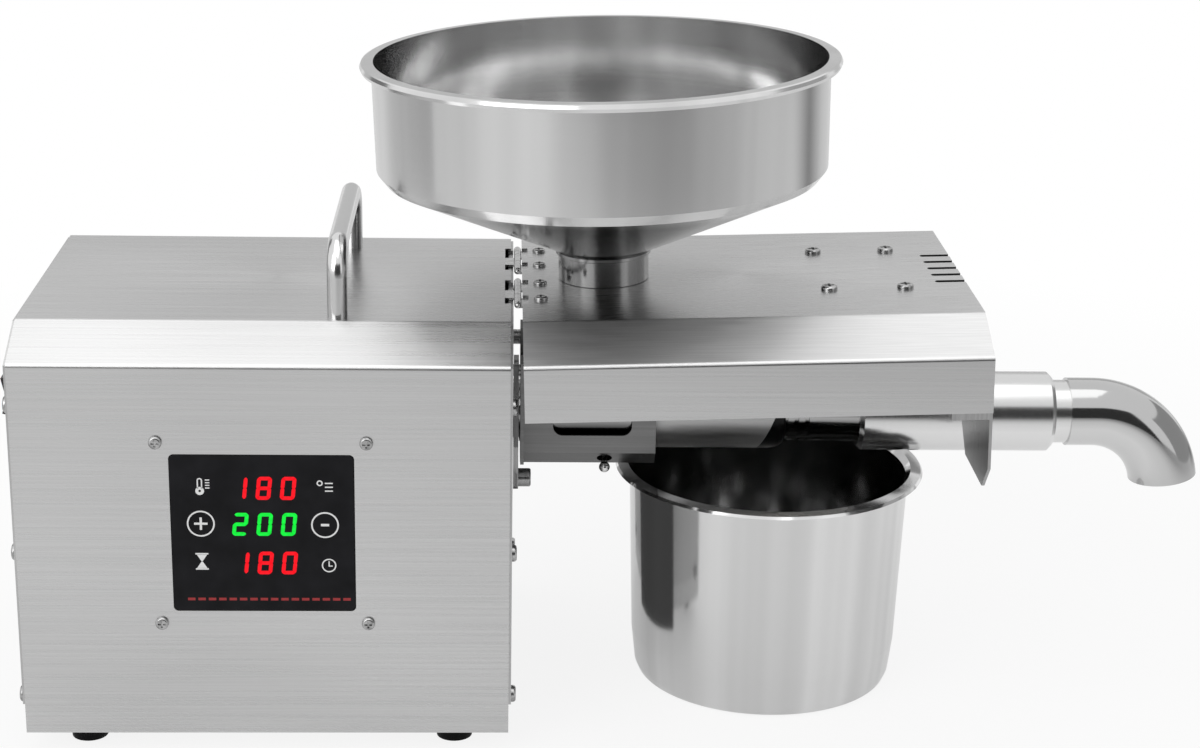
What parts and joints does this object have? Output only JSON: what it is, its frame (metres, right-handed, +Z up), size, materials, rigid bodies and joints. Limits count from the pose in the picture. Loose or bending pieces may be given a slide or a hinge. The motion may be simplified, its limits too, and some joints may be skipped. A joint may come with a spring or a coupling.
{
  "type": "household screw oil press",
  "caption": "Tabletop electric screw oil press: sheet steel housing, horizontal press barrel under a hinged heating hood, round hopper on top, outlet elbow and a pot below.",
  "frame": {"origin": "on the table surface, below the middle of the whole length and on the press axis plane", "axes": "+X from the motor housing along the barrel to the cake outlet, -Y out of the front with the control panel, +Z up"},
  "size_m": [0.4928, 0.1948, 0.271],
  "materials": {
    "housing_steel": "satin",
    "plate_steel": "satin",
    "bright_steel": "polished",
    "screw_steel": "polished",
    "hinge_steel": "satin",
    "dark_jacket": "satin",
    "dark_bracket": "satin",
    "black_nose": "matte",
    "black_window": "gloss",
    "black_plastic": "matte",
    "motor_rocker_plastic": "satin",
    "heater_rocker_plastic": "satin",
    "foot_rubber": "matte",
    "board_green": "satin",
    "cast_case": "cast",
    "gear_steel": "machined",
    "bearing_steel": "ground",
    "motor_paint": "satin",
    "core_iron": "laminated",
    "quartz": "clear"
  },
  "bodies": {
    "body": {"housing_shell": "housing_steel", "base_tray": "housing_steel", "left_end_plate": "plate_steel", "right_end_plate": "plate_steel", "carry_handle": "bright_steel", "end_sleeve": "bright_steel", "outlet_elbow": "bright_steel", "press_barrel": "bright_steel", "left_plate_screws": "screw_steel", "right_plate_screws": "screw_steel", "foot_screws": "screw_steel", "handle_screws": "screw_steel", "panel_screws": "screw_steel", "bracket_screws": "screw_steel", "lever_pivot": "screw_steel", "locating_pin": "screw_steel", "hinge_pins": "screw_steel", "gearbox_bolts": "screw_steel", "seat_bolts": "screw_steel", "housing_hinge_leaves": "hinge_steel", "heater_jacket": "dark_jacket", "support_bracket": "dark_bracket", "drip_nose": "black_nose", "control_panel": "black_window", "power_inlet": "black_plastic", "motor_switch_bezel": "black_plastic", "heater_switch_bezel": "black_plastic", "display_modules": "black_plastic", "rubber_feet": "foot_rubber", "control_board": "board_green", "power_board": "board_green", "gearbox_housing": "cast_case", "gearbox_cover": "cast_case", "barrel_seat": "cast_case", "gear_bearings": "bearing_steel", "motor_bearings": "bearing_steel", "motor_can": "motor_paint", "motor_end_bell": "motor_paint", "stator_core": "core_iron"},
    "hood": {"hood_shell": "housing_steel", "hood_end_plate": "plate_steel", "hood_hinge_leaves": "hinge_steel", "hood_hinge_screws": "screw_steel", "hood_top_screws": "screw_steel", "heater_reflector": "hinge_steel", "heater_tubes": "quartz", "heater_clips": "hinge_steel"},
    "hopper": {"hopper": "bright_steel"},
    "pot": {"oil_pot": "bright_steel"},
    "press_screw": {"output_gear": "gear_steel", "output_shaft": "gear_steel", "auger": "gear_steel"},
    "lay_gears": {"layshaft": "gear_steel", "layshaft_gear": "gear_steel"},
    "motor_turning": {"motor_rotor": "gear_steel", "motor_fan": "black_plastic", "motor_pinion": "gear_steel"},
    "lever": {"lock_lever": "dark_bracket"},
    "motor_rocker": {"motor_switch_rocker": "motor_rocker_plastic"},
    "heater_rocker": {"heater_switch_rocker": "heater_rocker_plastic"}
  },
  "joints": [
    {"name": "hood_swing", "type": "hinge", "parent": "body", "child": "hood", "pos_m": [-0.04611, 0, 0.1741], "axis": [0, -1, 0], "range_deg": [0, 100]},
    {"name": "hopper_lift", "type": "slide", "parent": "body", "child": "hopper", "axis": [-0.0297, 0, 0.9996], "range_m": [0, 0.262]},
    {"name": "pot_slide", "type": "slide", "parent": "body", "child": "pot", "axis": [0, -1, 0], "range_m": [0, 0.2]},
    {"name": "screw_turn", "type": "hinge", "parent": "body", "child": "press_screw", "pos_m": [-0.04086, 0, 0.1176], "axis": [1, 0, 0], "continuous": true},
    {"name": "layshaft_turn", "type": "hinge", "parent": "body", "child": "lay_gears", "pos_m": [-0.09086, -0.025, 0.07488], "axis": [1, 0, 0], "continuous": true},
    {"name": "motor_turn", "type": "hinge", "parent": "body", "child": "motor_turning", "pos_m": [-0.14086, 0.005, 0.05498], "axis": [1, 0, 0], "continuous": true},
    {"name": "lever_swing", "type": "hinge", "parent": "body", "child": "lever", "pos_m": [-0.04646, -0.022, 0.1416], "axis": [-1, 0, 0], "range_deg": [0, 20]},
    {"name": "motor_switch", "type": "hinge", "parent": "body", "child": "motor_rocker", "pos_m": [-0.23486, -0.067, 0.146], "axis": [0, 1, 0], "range_deg": [-10, 10]},
    {"name": "heater_switch", "type": "hinge", "parent": "body", "child": "heater_rocker", "pos_m": [-0.23486, -0.046, 0.146], "axis": [0, 1, 0], "range_deg": [-20, 0]}
  ],
  "couplings": [
    {"joint": "layshaft_turn", "follows": "screw_turn", "ratio": -4.5},
    {"joint": "motor_turn", "follows": "screw_turn", "ratio": 22.5},
    {"joint": "hopper_lift", "follows": "hood_swing", "m_per_rad": 0.149}
  ]
}
